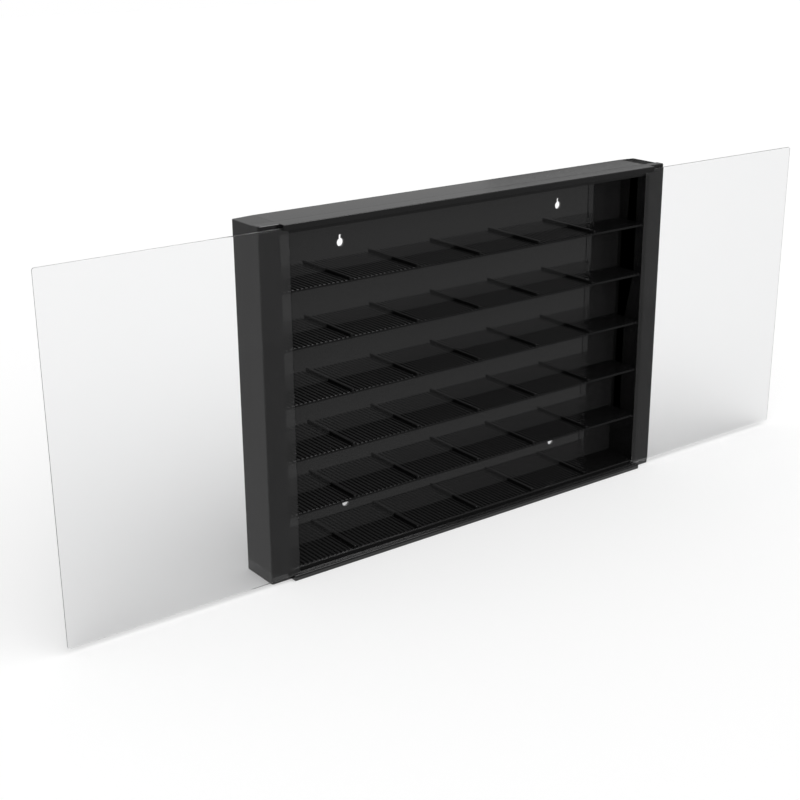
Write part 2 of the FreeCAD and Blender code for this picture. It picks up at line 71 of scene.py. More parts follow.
# Sizes and colours that a user can change
class CaseFinish(bpy.types.PropertyGroup):
    """Colours and surface qualities of the case."""
    moulding_colour: bpy.props.FloatVectorProperty(
        name="Moulding colour", description="Colour of the black end panels, rails, top and bottom",
        subtype="COLOR", size=3, min=0.0, max=1.0, default=(0.0065, 0.0065, 0.0066))
    moulding_roughness: bpy.props.FloatProperty(
        name="Moulding roughness", description="How dull the moulded plastic is", subtype="FACTOR",
        min=0.0, max=1.0, default=0.11)
    edge_radius: bpy.props.FloatProperty(
        name="Edge radius", description="Rounding of the mouldings' sharp edges", unit="LENGTH",
        default=0.35 * MM)
    cap_draft: bpy.props.FloatProperty(
        name="Cap draft", description="How far an end panel's top falls towards its outer side", unit="LENGTH",
        default=0.9 * MM)
    shelf_colour: bpy.props.FloatVectorProperty(
        name="Shelf colour", description="Colour of the ribbed shelves",
        subtype="COLOR", size=3, min=0.0, max=1.0, default=(0.0055, 0.0055, 0.0056))
    panel_colour: bpy.props.FloatVectorProperty(
        name="Back panel colour", description="Colour of the glossy back panel",
        subtype="COLOR", size=3, min=0.0, max=1.0, default=(0.017, 0.017, 0.0171))
    panel_roughness: bpy.props.FloatProperty(
        name="Back panel roughness", description="How dull the back panel is", subtype="FACTOR",
        min=0.0, max=1.0, default=0.03)
    sheet_colour: bpy.props.FloatVectorProperty(
        name="Door tint", description="Tint of the clear door sheets",
        subtype="COLOR", size=3, min=0.0, max=1.0, default=(0.955, 0.957, 0.96))
    # The door edge colour is painted shade: an opaque near black stands in for the dark line that the edge of a
    # clear sheet shows.
    sheet_edge_shade: bpy.props.FloatVectorProperty(
        name="Door edge colour", description="Grey that the cut edge of a clear sheet shows",
        subtype="COLOR", size=3, min=0.0, max=1.0, default=(0.02, 0.02, 0.021))
    steel_colour: bpy.props.FloatVectorProperty(
        name="Screw colour", description="Colour of the plated screws",
        subtype="COLOR", size=3, min=0.0, max=1.0, default=(0.56, 0.56, 0.58))


class ShelfSizes(bpy.types.PropertyGroup):
    """Sizes of the ribbed shelves that their boxes don't give."""
    bays: bpy.props.IntProperty(
        name="Bays", description="Cars side by side on one shelf", min=2, max=12, default=6)
    bay_pitch: bpy.props.FloatProperty(
        name="Bay pitch", description="Distance between two dividers", unit="LENGTH", default=96.6 * MM)
    ribs_per_bay: bpy.props.IntProperty(
        name="Ribs per bay", description="Rib spacings in one bay", min=4, max=40, default=16)
    rib_height: bpy.props.FloatProperty(
        name="Rib height", description="Height of a rib over the plate", unit="LENGTH", default=1.0 * MM)
    rib_crest: bpy.props.FloatProperty(
        name="Rib crest", description="Width of a rib at its crest", unit="LENGTH", default=3.0 * MM)
    rib_slope: bpy.props.FloatProperty(
        name="Rib slope", description="Height of the slope at a rib's front end", unit="LENGTH",
        default=0.55 * MM)
    plate: bpy.props.FloatProperty(
        name="Plate", description="Thickness of the plate under the ribs", unit="LENGTH", default=2.0 * MM)
    divider_height: bpy.props.FloatProperty(
        name="Divider height", description="Height of a divider over the ribs", unit="LENGTH", default=3.0 * MM)
    divider_width: bpy.props.FloatProperty(
        name="Divider width", description="Width of a divider", unit="LENGTH", default=3.6 * MM)
    divider_nose: bpy.props.FloatProperty(
        name="Divider nose", description="How far a divider stands out in front of the shelf",
        unit="LENGTH", default=0.8 * MM)
    half_length: bpy.props.FloatProperty(
        name="Half length", description="Half the length of the plate", unit="LENGTH", default=287.8 * MM)
    end_tab: bpy.props.FloatProperty(
        name="End tab", description="Width of the tabs in the end panels", unit="LENGTH", default=12.0 * MM)
    back_tab: bpy.props.FloatProperty(
        name="Back tab", description="Width of the tabs in the back panel", unit="LENGTH", default=16.0 * MM)
    rear_y: bpy.props.FloatProperty(
        name="Rear edge", description="Place of the plate's rear edge", unit="LENGTH", default=27.7 * MM)


class DoorSizes(bpy.types.PropertyGroup):
    """Sizes of the clear doors."""
    corner_radius: bpy.props.FloatProperty(
        name="Corner radius", description="Radius of a door's corners", unit="LENGTH", default=3.0 * MM)
    edge_softening: bpy.props.FloatProperty(
        name="Edge softening", description="Bevel around a door's cut edge", unit="LENGTH", default=0.7 * MM)


class ScrewSizes(bpy.types.PropertyGroup):
    """Sizes of the pan head screws."""
    panel_screw: bpy.props.FloatProperty(
        name="Panel screw", description="Thread diameter of the back panel's screws", unit="LENGTH",
        default=2.8 * MM)
    panel_length: bpy.props.FloatProperty(
        name="Panel screw length", description="Length under the head", unit="LENGTH", default=9.0 * MM)
    panel_head: bpy.props.FloatProperty(
        name="Panel screw head", description="Head diameter of the back panel's screws", unit="LENGTH",
        default=5.6 * MM)
    panel_head_height: bpy.props.FloatProperty(
        name="Panel screw head height", description="Height of those heads", unit="LENGTH", default=1.6 * MM)
    rail_screw: bpy.props.FloatProperty(
        name="Rail screw", description="Thread diameter of the rails' screws", unit="LENGTH",
        default=2.2 * MM)
    rail_length: bpy.props.FloatProperty(
        name="Rail screw length", description="Length under the head", unit="LENGTH", default=8.0 * MM)
    rail_head: bpy.props.FloatProperty(
        name="Rail screw head", description="Head diameter of the rails' screws", unit="LENGTH",
        default=4.0 * MM)
    rail_head_height: bpy.props.FloatProperty(
        name="Rail screw head height", description="Height of those heads", unit="LENGTH", default=1.4 * MM)
    lower_inset: bpy.props.FloatProperty(
        name="Lower inset", description="How much nearer the middle the lower rail screws sit", unit="LENGTH",
        default=5.8 * MM)
    lower_setback: bpy.props.FloatProperty(
        name="Lower setback", description="How much farther forward the lower rail screws sit", unit="LENGTH",
        default=2.4 * MM)


class StageSizes(bpy.types.PropertyGroup):
    """The studio around the case."""
    floor_size: bpy.props.FloatProperty(
        name="Floor size", description="Side of the square floor", unit="LENGTH", default=16.0)
    ambient: bpy.props.FloatProperty(
        name="Ambient light", description="Light from all around", min=0.0, default=0.5)
    floor_lift: bpy.props.FloatProperty(
        name="Floor lift", description="White added to the floor where it is seen", min=0.0, default=0.21)


# Mesh helpers
def mesh_of(bm, name):
    """A mesh from a bmesh."""
    mesh = bpy.data.meshes.new(name)
    bm.to_mesh(mesh)
    bm.free()
    return mesh


def plain_copy(carrier, name):
    """The mesh that an object's modifiers make. The carrier is removed."""
    evaluated = carrier.evaluated_get(bpy.context.evaluated_depsgraph_get())
    mesh = bpy.data.meshes.new_from_object(evaluated)
    mesh.name = name
    bpy.data.objects.remove(carrier)
    return mesh


def softly_shaded(mesh):
    """Smooth shading in which broad faces stay flat and the narrow ones at their rims turn the light."""
    name = mesh.name
    mesh.polygons.foreach_set("use_smooth", [True] * len(mesh.polygons))
    mesh.set_sharp_from_angle(angle=SMOOTH_ANGLE)
    carrier = linked(name + "_shading", mesh)
    weighing = carrier.modifiers.new("Weighted normals", "WEIGHTED_NORMAL")
    weighing.mode = "FACE_AREA"
    weighing.keep_sharp = True
    return plain_copy(carrier, name)


def linked(name, mesh):
    """An object at the origin that carries the mesh."""
    made = bpy.data.objects.new(name, mesh)
    bpy.context.scene.collection.objects.link(made)
    return made


def as_piece(name, mesh, body, nodes, materials):
    """A finished piece that rides on a body and stands for CAD nodes."""
    mesh.materials.clear()
    for material in materials:
        mesh.materials.append(material)
    if len(materials) == 1:
        mesh.polygons.foreach_set("material_index", [0] * len(mesh.polygons))
    piece = linked(name, softly_shaded(mesh))
    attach(piece, body)
    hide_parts(*nodes)
    return piece


def plain_box(bm, low, high):
    """Adds a box between two corners and returns its vertices."""
    middle = (Vector(low) + Vector(high)) / 2
    size = Vector(high) - Vector(low)
    place = Matrix.Translation(middle) @ Matrix.Diagonal((size.x, size.y, size.z, 1.0))
    return bmesh.ops.create_cube(bm, size=1.0, matrix=place)["verts"]


def soft_box(bm, low, high, width, segments=2):
    """Adds a box whose edges are all rounded by width."""
    corners = plain_box(bm, low, high)
    edges = list({edge for corner in corners for edge in corner.link_edges})
    bmesh.ops.bevel(bm, geom=edges, offset=width, segments=segments, profile=0.5, affect="EDGES")


def softened(node, name, width, shortest):
    """A copy of a CAD node whose sharp edges longer than shortest are rounded by width."""
    bm = bmesh.new()
    bm.from_mesh(NODES[node].data)
    bmesh.ops.remove_doubles(bm, verts=bm.verts, dist=2e-6)
    bmesh.ops.dissolve_limit(bm, angle_limit=math.radians(1.0), verts=bm.verts, edges=bm.edges)
    sharp = [edge for edge in bm.edges
             if edge.calc_face_angle(0.0) > SHARP_ANGLE and edge.calc_length() > shortest]
    bmesh.ops.bevel(bm, geom=sharp, offset=width, segments=2, profile=0.5, affect="EDGES", clamp_overlap=False)
    return mesh_of(bm, name)


def prism(bm, outline, direction):
    """Adds a closed prism: an outline of 3D points drawn out along a direction."""
    floor = bm.faces.new([bm.verts.new(point) for point in outline])
    made = bmesh.ops.extrude_face_region(bm, geom=[floor])["geom"]
    moved = [item for item in made if isinstance(item, bmesh.types.BMVert)]
    bmesh.ops.translate(bm, vec=direction, verts=moved)
    lids = [item for item in made if isinstance(item, bmesh.types.BMFace)]
    return floor, lids[0]


def rounded_outline(x0, x1, z0, z1, radius, steps):
    """Points around a rectangle with round corners, in order."""
    points = []
    corners = [(x1 - radius, z1 - radius, 0.0), (x0 + radius, z1 - radius, 0.5 * math.pi),
               (x0 + radius, z0 + radius, math.pi), (x1 - radius, z0 + radius, 1.5 * math.pi)]
    for x, z, start in corners:
        for step in range(steps + 1):
            angle = start + 0.5 * math.pi * step / steps
            points.append((x + radius * math.cos(angle), z + radius * math.sin(angle)))
    return points


# Node helpers
def put(tree, kind, feeds=None, **options):
    """Adds a node with its options set and its inputs fed by sockets or values."""
    node = tree.nodes.new(kind)
    for name, value in options.items():
        setattr(node, name, value)
    for name, value in (feeds or {}).items():
        if isinstance(value, bpy.types.NodeSocket):
            tree.links.new(value, node.inputs[name])
        else:
            node.inputs[name].default_value = value
    return node


def empty_material(name):
    """A material with nothing but its output."""
    material = bpy.data.materials.new(name)
    material.use_nodes = True
    tree = material.node_tree
    tree.nodes.clear()
    return material, tree, put(tree, "ShaderNodeOutputMaterial")


def opaque(colour, share=1.0):
    return (colour[0] * share, colour[1] * share, colour[2] * share, 1.0)


def noise(tree, place, scale, detail=2.0):
    return put(tree, "ShaderNodeTexNoise", {"Vector": place, "Scale": scale, "Detail": detail}).outputs["Fac"]


def between(tree, value, low, high):
    """Maps the middle of a noise to a range."""
    return put(tree, "ShaderNodeMapRange", {"Value": value, "From Min": 0.3, "From Max": 0.7,
                                            "To Min": low, "To Max": high}).outputs["Result"]


def blend_colours(tree, share, first, second):
    mix = put(tree, "ShaderNodeMix", {"Factor": share}, data_type="RGBA")
    mix.inputs[6].default_value = first
    mix.inputs[7].default_value = second
    return mix.outputs[2]


# Materials
def moulded_plastic(name, colour, roughness, specular):
    """Black moulded plastic: faint mottling and the slight unevenness of a moulded skin."""
    material, tree, output = empty_material(name)
    place = put(tree, "ShaderNodeTexCoord").outputs["Object"]
    mottle = blend_colours(tree, noise(tree, place, 9.0, 4.0), opaque(colour, 0.88), opaque(colour, 1.12))
    dull = between(tree, noise(tree, place, 160.0, 3.0), roughness - 0.02, roughness + 0.02)
    bump = put(tree, "ShaderNodeBump", {"Height": noise(tree, place, 700.0, 2.0), "Strength": 0.02,
                                        "Distance": 0.00005}).outputs["Normal"]
    shader = put(tree, "ShaderNodeBsdfPrincipled", {
        "Base Color": mottle, "Roughness": dull, "IOR": 1.5, "Specular IOR Level": specular, "Normal": bump})
    tree.links.new(shader.outputs[0], output.inputs["Surface"])
    return material


def glossy_panel(name, colour, roughness):
    """Polished black sheet with faint mottling."""
    material, tree, output = empty_material(name)
    place = put(tree, "ShaderNodeTexCoord").outputs["Object"]
    mottle = blend_colours(tree, noise(tree, place, 6.0, 3.0), opaque(colour, 0.93), opaque(colour, 1.07))
    dull = between(tree, noise(tree, place, 90.0, 3.0), roughness - 0.005, roughness + 0.005)
    shader = put(tree, "ShaderNodeBsdfPrincipled", {
        "Base Color": mottle, "Roughness": dull, "IOR": 1.5, "Specular IOR Level": 1.0})
    tree.links.new(shader.outputs[0], output.inputs["Surface"])
    return material


def clear_sheet(name, colour):
    """Clear acrylic: glass to the eye, and open to the light of the lamps."""
    material, tree, output = empty_material(name)
    place = put(tree, "ShaderNodeTexCoord").outputs["Object"]
    polish = between(tree, noise(tree, place, 24.0, 3.0), 0.0, 0.012)
    shader = put(tree, "ShaderNodeBsdfPrincipled", {
        "Base Color": opaque(colour), "Roughness": polish, "IOR": 1.49, "Transmission Weight": 1.0})
    open_air = put(tree, "ShaderNodeBsdfTransparent", {"Color": opaque((0.68, 0.68, 0.68))})
    shadow_ray = put(tree, "ShaderNodeLightPath").outputs["Is Shadow Ray"]
    mix = put(tree, "ShaderNodeMixShader", {0: shadow_ray, 1: shader.outputs[0], 2: open_air.outputs[0]})
    tree.links.new(mix.outputs[0], output.inputs["Surface"])
    return material


def painted_shade_edge(name, colour):
    """The polished edge of a clear sheet, in an opaque near-black colour: painted shade for the dark line that the
    edge of a clear sheet shows.
    """
    material, tree, output = empty_material(name)
    place = put(tree, "ShaderNodeTexCoord").outputs["Object"]
    tone = blend_colours(tree, noise(tree, place, 60.0, 2.0), opaque(colour, 0.85), opaque(colour, 1.2))
    shader = put(tree, "ShaderNodeBsdfPrincipled", {
        "Base Color": tone, "Roughness": 0.12, "IOR": 1.49, "Specular IOR Level": 0.1})
    tree.links.new(shader.outputs[0], output.inputs["Surface"])
    return material


def plated_steel(name, colour):
    """Zinc plated steel with a fine turned grain."""
    material, tree, output = empty_material(name)
    place = put(tree, "ShaderNodeTexCoord").outputs["Object"]
    tone = blend_colours(tree, noise(tree, place, 420.0, 3.0), opaque(colour, 0.8), opaque(colour, 1.1))
    dull = between(tree, noise(tree, place, 900.0, 2.0), 0.24, 0.36)
    bump = put(tree, "ShaderNodeBump", {"Height": noise(tree, place, 2600.0, 1.0), "Strength": 0.1,
                                        "Distance": 0.00005}).outputs["Normal"]
    shader = put(tree, "ShaderNodeBsdfPrincipled", {
        "Base Color": tone, "Metallic": 1.0, "Roughness": dull, "Normal": bump})
    tree.links.new(shader.outputs[0], output.inputs["Surface"])
    return material


def dress(node, material):
    """Gives a CAD node its finished material."""
    slots = NODES[node].data.materials
    slots.clear()
    slots.append(material)


# Geometry Nodes: the ribs and dividers of a shelf
def tree_with_inputs(name, inputs):
    """An empty Geometry Nodes tree with named inputs and one geometry output."""
    tree = bpy.data.node_groups.new(name, "GeometryNodeTree")
    for label, kind in inputs:
        tree.interface.new_socket(name=label, in_out="INPUT", socket_type=kind)
    tree.interface.new_socket(name="Geometry", in_out="OUTPUT", socket_type="NodeSocketGeometry")
    return tree, put(tree, "NodeGroupInput"), put(tree, "NodeGroupOutput")


def grown(name, base, tree, values):
    """The plain mesh that a tree makes from a base mesh."""
    carrier = linked(name + "_base", base)
    modifier = carrier.modifiers.new(tree.name, "NODES")
    modifier.node_group = tree
    for item in tree.interface.items_tree:
        if item.in_out == "INPUT" and item.name in values:
            modifier[item.identifier] = values[item.name]
    return plain_copy(carrier, name)


def maths(tree, operation, first, second):
    return put(tree, "ShaderNodeMath", {0: first, 1: second}, operation=operation).outputs[0]


def row_of_points(tree, count, pitch, start, y, z):
    """A line of points along X."""
    offset = put(tree, "ShaderNodeCombineXYZ", {"X": pitch}).outputs[0]
    first = put(tree, "ShaderNodeCombineXYZ", {"X": start, "Y": y, "Z": z}).outputs[0]
    return put(tree, "GeometryNodeMeshLine", {"Count": count, "Offset": offset, "Start Location": first},
               mode="OFFSET").outputs[0]


def rib_tree():
    """Ribs between the dividers of a shelf, and the dividers, set along the plate they are given."""
    tree, given, result = tree_with_inputs("Ribbed shelf", [
        ("Geometry", "NodeSocketGeometry"), ("Rib", "NodeSocketObject"), ("Divider", "NodeSocketObject"),
        ("Bays", "NodeSocketInt"), ("Bay Pitch", "NodeSocketFloat"), ("Ribs per Bay", "NodeSocketInt"),
        ("Plate Top", "NodeSocketFloat"), ("Material", "NodeSocketMaterial")])
    at = given.outputs
    rib_pitch = maths(tree, "DIVIDE", at["Bay Pitch"], at["Ribs per Bay"])
    span = maths(tree, "MULTIPLY", at["Bay Pitch"], at["Bays"])
    left = maths(tree, "MULTIPLY", span, -0.5)
    steps = maths(tree, "MULTIPLY", at["Bays"], at["Ribs per Bay"])
    places = row_of_points(tree, steps, rib_pitch, left, 0.0, at["Plate Top"])
    number = put(tree, "GeometryNodeInputIndex").outputs[0]
    between_dividers = maths(tree, "MODULO", number, at["Ribs per Bay"])
    ribs = self_standing(tree, places, at["Rib"], between_dividers)
    divider_count = maths(tree, "SUBTRACT", at["Bays"], 1.0)
    first_divider = maths(tree, "ADD", left, at["Bay Pitch"])
    divider_places = row_of_points(tree, divider_count, at["Bay Pitch"], first_divider, 0.0, at["Plate Top"])
    dividers = self_standing(tree, divider_places, at["Divider"])
    finish_tree(tree, (at["Geometry"], ribs, dividers), at["Material"], result)
    return tree


def self_standing(tree, places, shape, chosen=True):
    """Copies of an object on points."""
    copied = put(tree, "GeometryNodeObjectInfo", {"Object": shape}).outputs["Geometry"]
    return put(tree, "GeometryNodeInstanceOnPoints", {
        "Points": places, "Selection": chosen, "Instance": copied}).outputs[0]


def finish_tree(tree, parts, material, result):
    """Joins the parts, makes the copies real and paints them."""
    joined = put(tree, "GeometryNodeJoinGeometry")
    for part in parts:
        tree.links.new(part, joined.inputs[0])
    real = put(tree, "GeometryNodeRealizeInstances", {"Geometry": joined.outputs[0]}).outputs[0]
    painted = put(tree, "GeometryNodeSetMaterial", {"Geometry": real, "Material": material}).outputs[0]
    tree.links.new(painted, result.inputs[0])


def screw_tree():
    """Screws at the corners of a rectangle in the XZ plane."""
    tree, given, result = tree_with_inputs("Corner screws", [
        ("Geometry", "NodeSocketGeometry"), ("Screw", "NodeSocketObject"), ("Upper Half Width", "NodeSocketFloat"),
        ("Lower Half Width", "NodeSocketFloat"), ("Top", "NodeSocketFloat"), ("Bottom", "NodeSocketFloat"),
        ("Upper Seat", "NodeSocketFloat"), ("Lower Seat", "NodeSocketFloat"),
        ("Material", "NodeSocketMaterial")])
    at = given.outputs
    rows = []
    for half_width, height, seat in (("Upper Half Width", "Top", "Upper Seat"),
                                     ("Lower Half Width", "Bottom", "Lower Seat")):
        start = maths(tree, "MULTIPLY", at[half_width], -1.0)
        apart = maths(tree, "MULTIPLY", at[half_width], 2.0)
        places = row_of_points(tree, 2, apart, start, at[seat], at[height])
        rows.append(self_standing(tree, places, at["Screw"]))
    finish_tree(tree, rows, at["Material"], result)
    return tree


def rib_shape(sizes, front_y, rear_y):
    """A straight-sided rib with a sloped front end and a soft crest, its foot at z = 0."""
    bm = bmesh.new()
    half = sizes.rib_crest / 2
    top = sizes.rib_height
    sunk = -sizes.plate / 10
    side = [(front_y, sunk), (rear_y, sunk), (rear_y, top), (front_y + sizes.rib_slope, top),
            (front_y, top - sizes.rib_slope)]
    floor, lid = prism(bm, [Vector((-half, y, z)) for y, z in side], Vector((2 * half, 0, 0)))
    crest = [edge for edge in bm.edges if all(vert.co.z > top - sizes.rib_slope / 2 for vert in edge.verts)
             and abs(edge.verts[0].co.y - edge.verts[1].co.y) > half]
    bmesh.ops.bevel(bm, geom=crest, offset=0.25 * MM, segments=1, profile=0.5, affect="EDGES")
    bmesh.ops.recalc_face_normals(bm, faces=bm.faces)
    return mesh_of(bm, "rib")


def divider_shape(sizes, nose_y, rear_y):
    """A divider with a round nose and softened top, its foot under the plate's top at z = 0."""
    bm = bmesh.new()
    half = sizes.divider_width / 2
    outline = [Vector((half, rear_y, -sizes.plate)), Vector((-half, rear_y, -sizes.plate))]
    steps = 8
    radius = half * 0.98
    for step in range(steps + 1):
        angle = math.pi + math.pi * step / steps
        outline.append(Vector((radius * math.cos(angle), nose_y + radius + radius * math.sin(angle), -sizes.plate)))
    rise = sizes.plate + sizes.rib_height + sizes.divider_height
    floor, lid = prism(bm, outline, Vector((0, 0, rise)))
    bmesh.ops.bevel(bm, geom=list(lid.edges), offset=0.8 * MM, segments=3, profile=0.5, affect="EDGES")
    bmesh.ops.recalc_face_normals(bm, faces=bm.faces)
    return mesh_of(bm, "divider")


def screw_shape(diameter, length, head, head_height):
    """A pan head screw along Y, its seat at y = 0 and its head behind, with rings of thread and a cross recess."""
    root = 0.4 * diameter
    rings = int(length / (0.3 * diameter)) - 2
    pitch = length / (rings + 2)
    profile = [(0.0, -length), (root * 0.5, -length + 0.5 * pitch)]
    for ring in range(rings):
        start = -length + (1 + ring) * pitch
        profile += [(root, start), (diameter / 2, start + pitch / 2)]
    profile += [(root, -pitch), (root, 0.0), (head / 2, 0.0), (head / 2, 0.35 * head_height),
                (0.46 * head, 0.7 * head_height), (0.34 * head, 0.93 * head_height), (0.2 * head, head_height),
                (0.0, head_height)]
    bm = bmesh.new()
    line = [bm.verts.new((x, y, 0.0)) for x, y in profile]
    edges = [bm.edges.new(pair) for pair in zip(line, line[1:])]
    bmesh.ops.spin(bm, geom=line + edges, cent=(0, 0, 0), axis=(0, 1, 0), angle=2 * math.pi, steps=24,
                   use_merge=True)
    bmesh.ops.remove_doubles(bm, verts=bm.verts, dist=1e-6)
    bmesh.ops.recalc_face_normals(bm, faces=bm.faces)
    turned = linked("turned_screw", mesh_of(bm, "turned_screw"))
    recess = bmesh.new()
    deep = 0.4 * head_height
    arms = [(0.3 * head, 0.07 * head), (0.07 * head, 0.3 * head)]
    for reach_x, reach_z in arms:
        plain_box(recess, (-reach_x, deep, -reach_z), (reach_x, 2 * head_height, reach_z))
    cutter = linked("cross_recess", mesh_of(recess, "cross_recess"))
    carve = turned.modifiers.new("Cross recess", "BOOLEAN")
    carve.object = cutter
    carve.use_self = True
    mesh = plain_copy(turned, "screw")
    bpy.data.objects.remove(cutter)
    return mesh


def shelf_plate(sizes, low_z, front_y, rear_y, tabs):
    """The plate of a shelf with its tabs."""
    bm = bmesh.new()
    top = low_z + sizes.plate
    plain_box(bm, (-sizes.half_length, front_y, low_z), (sizes.half_length, rear_y, top))
    for x0, x1, y0, y1 in tabs:
        soft_box(bm, (x0, y0, low_z), (x1, y1, top), 0.15 * MM, 1)
    return mesh_of(bm, "plate")


class CASE_OT_finish_mouldings(bpy.types.Operator):
    """Gives the end panels, rails, top and bottom their black moulded plastic"""
    bl_idname = "display_case.finish_mouldings"
    bl_label = "Finish mouldings"

    def execute(self, context):
        finish = context.scene.case_finish
        plastic = moulded_plastic("moulded black", finish.moulding_colour, finish.moulding_roughness, 0.5)
        for node in MOULDING_NODES:
            mesh = softened(node, "soft_" + node, finish.edge_radius, 0.2 * MM)
            if node.endswith("end_panel"):
                self.give_draft(mesh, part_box(node), finish.cap_draft)
            as_piece("soft_" + node, mesh, CASE_BODY, [node], [plastic])
        return {"FINISHED"}

    def give_draft(self, mesh, bounds, fall):
        """Lets the top of an end panel fall a little towards its outer side, as the mould's draft does."""
        low, high = bounds
        inner = min(abs(low.x), abs(high.x))
        width = high.x - low.x
        for vertex in mesh.vertices:
            if vertex.co.z > high.z - 1.2 * MM:
                vertex.co.z -= fall * (abs(vertex.co.x) - inner) / width


class CASE_OT_lay_shelves(bpy.types.Operator):
    """Builds the five ribbed shelves and the ribbed floor, with their dividers"""
    bl_idname = "display_case.lay_shelves"
    bl_label = "Lay shelves"

    def execute(self, context):
        sizes = context.scene.shelf_sizes
        colour = context.scene.case_finish.shelf_colour
        plastic = moulded_plastic("shelf black", colour, 0.1, 0.3)
        # The grooves get a matt finish. Their colour, cut to 0.15 of the shelf colour, is painted shade for the
        # shade that falls between the ribs.
        groove_shade = moulded_plastic("shelf groove black", opaque(colour, 0.15), 0.3, 0.05)
        tree = rib_tree()
        for node in SHELF_NODES + ["floor_shelf"]:
            self.lay(node, sizes, tree, plastic, groove_shade)
        return {"FINISHED"}

    def lay(self, node, sizes, tree, plastic, groove_shade):
        low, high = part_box(node)
        is_floor = node == "floor_shelf"
        nose = 0.0 if is_floor else sizes.divider_nose
        front_y = low.y + nose
        tabs = [] if is_floor else self.tabs(sizes, low, high)
        base = shelf_plate(sizes, low.z, front_y, sizes.rear_y, tabs)
        divider = linked("divider", divider_shape(sizes, low.y, sizes.rear_y))
        rib = linked("rib", rib_shape(sizes, front_y, sizes.rear_y))
        mesh = grown("ribbed_" + node, base, tree, {
            "Rib": rib, "Divider": divider, "Bays": sizes.bays, "Bay Pitch": sizes.bay_pitch,
            "Ribs per Bay": sizes.ribs_per_bay, "Plate Top": low.z + sizes.plate, "Material": plastic})
        bpy.data.objects.remove(divider)
        bpy.data.objects.remove(rib)
        plate_top = low.z + sizes.plate
        # Groove floors and the lower rib sides take the darker groove material: painted shade between the ribs.
        for face in mesh.polygons:
            rise = face.center.z - plate_top
            face.material_index = int(-0.1 * MM < rise < 0.6 * sizes.rib_height)
        as_piece("ribbed_" + node, mesh, CASE_BODY, [node], [plastic, groove_shade])

    def tabs(self, sizes, low, high):
        """Boxes of the tabs, as x0, x1, y0, y1: two at each end and three along the back."""
        found = []
        inner = sizes.half_length - 2.4 * MM
        for start in (low.y + 19.8 * MM, sizes.rear_y - 17.8 * MM):
            found.append((inner, high.x, start, start + sizes.end_tab))
            found.append((low.x, -inner, start, start + sizes.end_tab))
        reach = (sizes.bays / 2 - 1) * sizes.bay_pitch
        for x in (-reach, 0.0, reach):
            found.append((x - sizes.back_tab / 2, x + sizes.back_tab / 2, sizes.rear_y - 2.4 * MM, high.y))
        return found


class CASE_OT_fit_back_panel(bpy.types.Operator):
    """Gives the back panel its polished black finish"""
    bl_idname = "display_case.fit_back_panel"
    bl_label = "Fit back panel"

    def execute(self, context):
        finish = context.scene.case_finish
        mesh = softened("back_panel", "polished_back_panel", 0.2 * MM, 0.2 * MM)
        polished = glossy_panel("polished black", finish.panel_colour, finish.panel_roughness)
        as_piece("polished_back_panel", mesh, CASE_BODY, ["back_panel"], [polished])
        return {"FINISHED"}


class CASE_OT_hang_doors(bpy.types.Operator):
    """Builds the two clear sliding doors with rounded corners and polished edges, the edges painted near black as
    painted shade
    """
    bl_idname = "display_case.hang_doors"
    bl_label = "Hang doors"

    def execute(self, context):
        finish = context.scene.case_finish
        sizes = context.scene.door_sizes
        sheet = clear_sheet("clear sheet", finish.sheet_colour)
        edge = painted_shade_edge("clear sheet edge", finish.sheet_edge_shade)
        for node, body in (("left_door", LEFT_DOOR_BODY), ("right_door", RIGHT_DOOR_BODY)):
            mesh = self.sheet_mesh(node, sizes)
            as_piece("clear_" + node, mesh, body, [node], [sheet, edge])
        return {"FINISHED"}

    def sheet_mesh(self, node, sizes):
        low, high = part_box(node)
        bm = bmesh.new()
        outline = rounded_outline(low.x, high.x, low.z, high.z, sizes.corner_radius, 8)
        rear, front = prism(bm, [Vector((x, high.y, z)) for x, z in outline], Vector((0, low.y - high.y, 0)))
        rims = list(rear.edges) + list(front.edges)
        bmesh.ops.bevel(bm, geom=rims, offset=sizes.edge_softening, segments=2, profile=0.5, affect="EDGES")
        bmesh.ops.recalc_face_normals(bm, faces=bm.faces)
        for face in bm.faces:
            # Faces that are not front or back take the near-black edge material, painted shade along the rim.
            face.material_index = 0 if abs(face.normal.y) > 0.95 else 1
        return mesh_of(bm, "clear_" + node)


class CASE_OT_drive_screws(bpy.types.Operator):
    """Builds the pan head screws of the back panel and of the rails"""
    bl_idname = "display_case.drive_screws"
    bl_label = "Drive screws"

    def execute(self, context):
        sizes = context.scene.screw_sizes
        steel = plated_steel("plated steel", context.scene.case_finish.steel_colour)
        tree = screw_tree()
        self.drive("back_panel_screws", tree, steel, sizes.panel_head, sizes.panel_head_height, sizes.panel_screw,
                   sizes.panel_length, 0.0, 0.0)
        self.drive("rail_screws", tree, steel, sizes.rail_head, sizes.rail_head_height, sizes.rail_screw,
                   sizes.rail_length, sizes.lower_inset, sizes.lower_setback)
        return {"FINISHED"}

    def drive(self, node, tree, steel, head, head_height, diameter, length, lower_inset, lower_setback):
        low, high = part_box(node)
        seat = high.y - head_height
        screw = linked("screw", screw_shape(diameter, length, head, head_height))
        half_width = high.x - head / 2
        mesh = grown("pan_head_" + node, bpy.data.meshes.new("nothing"), tree, {
            "Screw": screw, "Upper Half Width": half_width, "Lower Half Width": half_width - lower_inset,
            "Top": high.z - head / 2, "Bottom": low.z + head / 2, "Upper Seat": seat,
            "Lower Seat": seat - lower_setback, "Material": steel})
        bpy.data.objects.remove(screw)
        as_piece("pan_head_" + node, mesh, CASE_BODY, [node], [steel])


